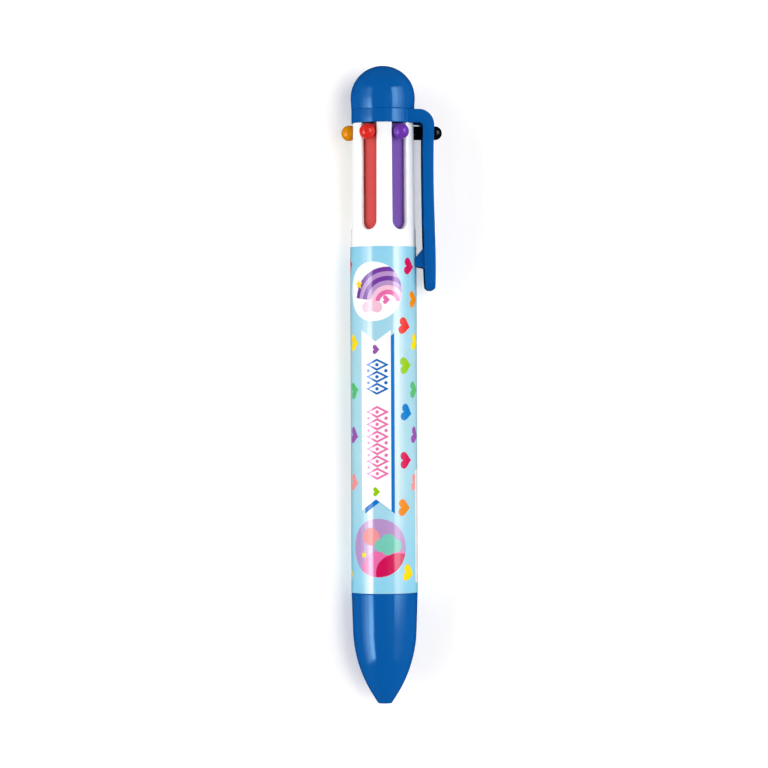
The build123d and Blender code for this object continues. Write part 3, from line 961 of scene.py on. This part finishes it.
def draw_hearts(art):
    """Rows of hearts down the film, as (ink, height, angle): three in front and five round the back."""
    scatter = random.Random(7)
    back = (104.7, 142.8, -179.0, -140.8, -102.7)
    patch_top, left_heart_foot = 31, 70
    near = [("crimson", 74.4, 49.0), ("red", 60.8, 37.5), ("lime", 51.85, 39.5), ("blue", 41.1, 41.5),
            ("crimson", 30.3, 39.5), ("orange", 19.5, 35.5), ("yellow", 4.6, 44.5)]
    far = [("orange", 66.9, 61.5), ("yellow", 57.1, 66.5), ("green", 46.3, 62.5), ("purple", 35.9, 65.5),
           ("salmon", 25.1, 65.5)]
    left = [("yellow", 57.0, -63.5), ("green", 46.2, -63.5), ("purple", 35.9, -64.5),
            ("salmon", 25.2, -64.5), ("yellow", 4.3, -85.5), ("crimson", 74.8, -84.0)]
    for ink, v, angle in near + far + left:
        art.add(ink, heart(around(angle), v, tilt=scatter.uniform(-14, 14)))
    for column, angle in enumerate(back):
        rows = near[:-1] if column % 2 == 0 else far
        for ink, v, _ in rows:
            beside_patch = angle == back[0] and v < patch_top
            beside_left_heart = angle == back[-1] and v > left_heart_foot
            if beside_patch or beside_left_heart:
                continue
            art.add(ink, heart(around(angle + scatter.uniform(-2, 2)), v, tilt=scatter.uniform(-14, 14)))
    art.add("white", round_patch(around(86.5), 15.2, 2.8, 13.0, 0.8))


def film_point(u, v, depth=0.0):
    """Place on the film of a point of the flat artwork, or that deep under it."""
    share = max(0.0, v * MM - FILM_STRAIGHT_Y) / (FILM_HIGH.y - FILM_STRAIGHT_Y)
    angle, radius = u / FLAT_R, FILM_R + (FILM_TOP_R - FILM_R) * share - depth
    return Vector((radius * sin(angle), v * MM, radius * cos(angle)))


def cut_artwork(art):
    """Cuts the flat film along every outline and along grid lines, and says which ink each face takes."""
    v_low, v_high = FILM_FOOT_Y / MM, FILM_HIGH.y / MM
    u_low = around(SEAM - 360)
    step = 2.0             # degrees between two grid lines
    columns = round(360 / step)
    verts, edges, faces = [], [], []

    def line(a, b):
        edges.append((len(verts), len(verts) + 1))
        verts.extend((a, b))

    for k in range(columns + 1):
        u = u_low + around(step) * k
        line((u, v_low), (u, v_high))
    rows = [v_low + (v_high - v_low) * k / 12 for k in range(13)] + [FILM_STRAIGHT_Y / MM]
    for v in rows:
        line((u_low, v), (u_low + around(360), v))
    for _, outline, _ in art.shapes:
        faces.append(list(range(len(verts), len(verts) + len(outline))))
        outline = [(u, min(max(v, v_low), v_high)) for u, v in outline]
        verts.extend(anticlockwise(outline))
    cut = delaunay_2d_cdt([Vector(p) for p in verts], edges, faces, 0, 1e-5, True)
    flat, triangles, owners = cut[0], cut[2], cut[5]
    names, inks = list(INKS), []
    for found in owners:
        shapes = [art.shapes[index] for index in sorted(found)]
        seen = [ink for ink, _, within in shapes if within is None or within in found]
        inks.append(names.index(seen[-1] if seen else "sky"))
    return flat, triangles, inks


def make_film():
    """The film as one mesh: its printed outside cut by ink, its inside and its two rims."""
    art = Artwork()
    draw_hearts(art)
    draw_ribbon(art)
    draw_upper_medallion(art)
    draw_lower_medallion(art)
    flat, triangles, inks = cut_artwork(art)
    bm = bmesh.new()
    outer = [bm.verts.new(film_point(u, v)) for u, v in flat]
    for corners, ink in zip(triangles, inks):
        bm.faces.new([outer[k] for k in corners]).material_index = ink
    v_low, v_high = FILM_FOOT_Y / MM, FILM_HIGH.y / MM
    rims = [sorted((p.x, k) for k, p in enumerate(flat) if abs(p.y - v) < 1e-4) for v in (v_low, v_high)]
    inner = []
    for v in (v_low, FILM_STRAIGHT_Y / MM, v_high):
        inner.append([bm.verts.new(film_point(u, v, FILM_THICKNESS)) for u, _ in rims[0]])
    grid(bm, inner)
    for rim, edge in zip(rims, (inner[0], inner[-1])):
        grid(bm, [[outer[k] for _, k in rim], edge])
    materials = []
    for name, colour in INKS.items():
        ends = SKY_ENDS if name == "sky" else None
        gloss = MATT_GLOSS if name in MATT_INKS else 1.0
        materials.append(printed_ink(f"ink_{name}", colour, ends, gloss))
    piece = finish_mesh(bm, "film_print", materials[0], sharp=60, merge=1e-6)
    for material in materials[1:]:
        piece.data.materials.append(material)
    true_normals(piece)
    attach(piece, "body")
    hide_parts("printed_film")


def true_normals(piece):
    """Gives the film the normals of a true cylinder, so that its cuts don't show in reflections."""
    mesh = piece.data
    normals = []
    for face in mesh.polygons:
        is_rim = abs(face.normal.y) > 0.9
        for index in face.vertices:
            co = mesh.vertices[index].co
            radial = Vector((co.x, 0, co.z)).normalized()
            outward = radial if face.normal.dot(radial) > 0 else -radial
            normals.append(face.normal.copy() if is_rim else outward)
    mesh.normals_split_custom_set(normals)


# ---- studio

CAMERA_DISTANCE = 0.779
CAMERA_X, CAMERA_Y = 0.04 * MM, 47.65 * MM
LENS = 159.4               # focal length, in millimetres
PEN_TURN = -2.5            # the camera stands slightly towards -X, in degrees round the pen
PEN_LEAN = -0.23           # and is rolled, in degrees
# Strips of light that show in the gloss: from and to, in degrees from straight above, radiance
REFLECTED_STRIPS = {
    "left_1": (-43, -60, 7.5), "left_2": (-60, -76, 3.4), "left_3": (-76, -90, 1.0),
    "right_1": (32, 54, 5.6), "right_2": (54, 68, 2.8), "right_3": (68, 82, 1.0),
}
STRIP_DISTANCE, STRIP_LENGTH, STRIP_Y = 0.75, 1.05, 0.075
# The strips' strength along the pen: from y, to y, share at the first and at the second
STRIP_FADES = {"left": (-65 * MM, 180 * MM, 1.3, 0.22), "right": (-110 * MM, 60 * MM, 0.12, 1.05)}
# Large soft lights that carry the exposure: from, to, length and radiance
SOFT_LIGHTS = {"left": (-40, -75, 1.0, 3.1), "right": (40, 75, 1.0, 2.4), "above": (8, 28, 0.6, 5.3)}
SOFT_DISTANCE = 0.78
WORLD_STRENGTH = 0.18
TABLE_HALF, WALL_TOP = 4.0, 0.5
TABLE_GAP = 0.02 * MM
# The table's painted light, a glow: at this distance from the origin, this strong; weak near the pen, so its
# shadow shows
NEAR_PAINTED_GLOW, FAR_PAINTED_GLOW = (0.35, 0.19), (0.75, 1.0)


def make_camera():
    data = bpy.data.cameras.new("camera")
    data.sensor_width, data.lens = 36, LENS
    camera = new_object("camera", data)
    turn = Matrix.Rotation(radians(PEN_TURN), 4, "Y")
    roll = Matrix.Rotation(radians(PEN_LEAN), 4, "Z")
    back = Matrix.Translation((0, 0, CAMERA_DISTANCE))
    camera.matrix_world = Matrix.Translation((CAMERA_X, CAMERA_Y, 0)) @ turn @ back @ roll
    bpy.context.scene.camera = camera


def softbox(name, low, high, distance, length, radiance, y):
    """Area light over the pen, between two angles from straight above (towards +X)."""
    data = bpy.data.lights.new(name, "AREA")
    data.shape = "RECTANGLE"
    data.size = 2 * distance * tan(radians(abs(high - low)) / 2)
    data.size_y = length
    data.energy = radiance * pi * data.size * data.size_y
    light = new_object(name, data)
    turn = Matrix.Rotation(radians((low + high) / 2), 4, "Y")
    light.matrix_world = Matrix.Translation((0, y, 0)) @ turn @ Matrix.Translation((0, 0, distance))
    return light


def fade_along(light, fade):
    """Changes a light's strength along the pen."""
    light.data.use_nodes = True
    tree = light.data.node_tree
    kinds = ("NewGeometry", "SeparateXYZ", "MapRange")
    geometry, split, ramp = [tree.nodes.new(f"ShaderNode{kind}") for kind in kinds]
    tree.links.new(geometry.outputs["Position"], split.inputs[0])
    tree.links.new(split.outputs["Y"], ramp.inputs[0])
    for socket, value in zip(list(ramp.inputs)[1:5], fade):
        socket.default_value = value
    tree.links.new(ramp.outputs[0], tree.nodes["Emission"].inputs["Strength"])


def make_floor():
    """Plain pale table with a low wall round it, which glows as painted light, more strongly far from the
    pen and weakly near it, where the pen's shadow shows.

    The pen lies on its two rear knobs and the film's lower edge, so the table tilts a little."""
    knob_z = -BALL_CENTRE * MM * cos(radians(30)) - BALL_R * MM
    slope = (knob_z + FILM_R) / (KNOB_Y - FILM_LOW.y)
    bm = bmesh.new()
    corners = [(TABLE_HALF * x, TABLE_HALF * y) for x, y in ((-1, -1), (1, -1), (1, 1), (-1, 1))]
    table = [bm.verts.new((x, y, -FILM_R + slope * y - TABLE_GAP)) for x, y in corners]
    rim = [bm.verts.new((x, y, WALL_TOP)) for x, y in corners]
    bm.faces.new(table)
    grid(bm, [table + table[:1], rim + rim[:1]])
    n = Nodes("table")
    n.set(Base_Color=n.mix(n.noise(40), (0.92, 0.895, 0.88, 1), (0.94, 0.915, 0.90, 1)), Roughness=0.6)
    # painted light: the table and its wall glow, weakly near the pen so its shadow shows
    painted_glow = n.remap(n.length(n.place), NEAR_PAINTED_GLOW[0], FAR_PAINTED_GLOW[0], NEAR_PAINTED_GLOW[1], FAR_PAINTED_GLOW[1])
    n.set(Emission_Color=(1, 1, 1, 1), Emission_Strength=painted_glow)
    floor = finish_mesh(bm, "table", n.material)
    floor.visible_glossy = False


def make_world():
    """Weak even light from all round."""
    world = bpy.data.worlds.new("studio")
    bpy.context.scene.world = world
    world.use_nodes = True
    inputs = world.node_tree.nodes["Background"].inputs
    inputs["Color"].default_value = (1, 1, 1, 1)
    inputs["Strength"].default_value = WORLD_STRENGTH
    world.cycles_visibility.glossy = False


def make_studio():
    make_camera()
    for name, (low, high, radiance) in REFLECTED_STRIPS.items():
        strip = softbox(f"strip_{name}", low, high, STRIP_DISTANCE, STRIP_LENGTH, radiance, STRIP_Y)
        strip.visible_diffuse = False
        fade_along(strip, STRIP_FADES[name.split("_")[0]])
    for name, (low, high, length, radiance) in SOFT_LIGHTS.items():
        soft = softbox(f"soft_{name}", low, high, SOFT_DISTANCE, length, radiance, CAMERA_Y)
        soft.visible_glossy = False
    make_floor()
    make_world()
    bpy.context.scene.view_settings.view_transform = "Standard"


make_barrel()
make_casing()
make_clip()
make_film()
for slider_colour, station in STATIONS.items():
    make_slider(slider_colour, station)
    make_refill(slider_colour, station)
    make_spring(slider_colour, station)
for hidden_node in ("latch_core", "guide_plate"):
    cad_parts[hidden_node].material_slots[0].material = WHITE
make_studio()
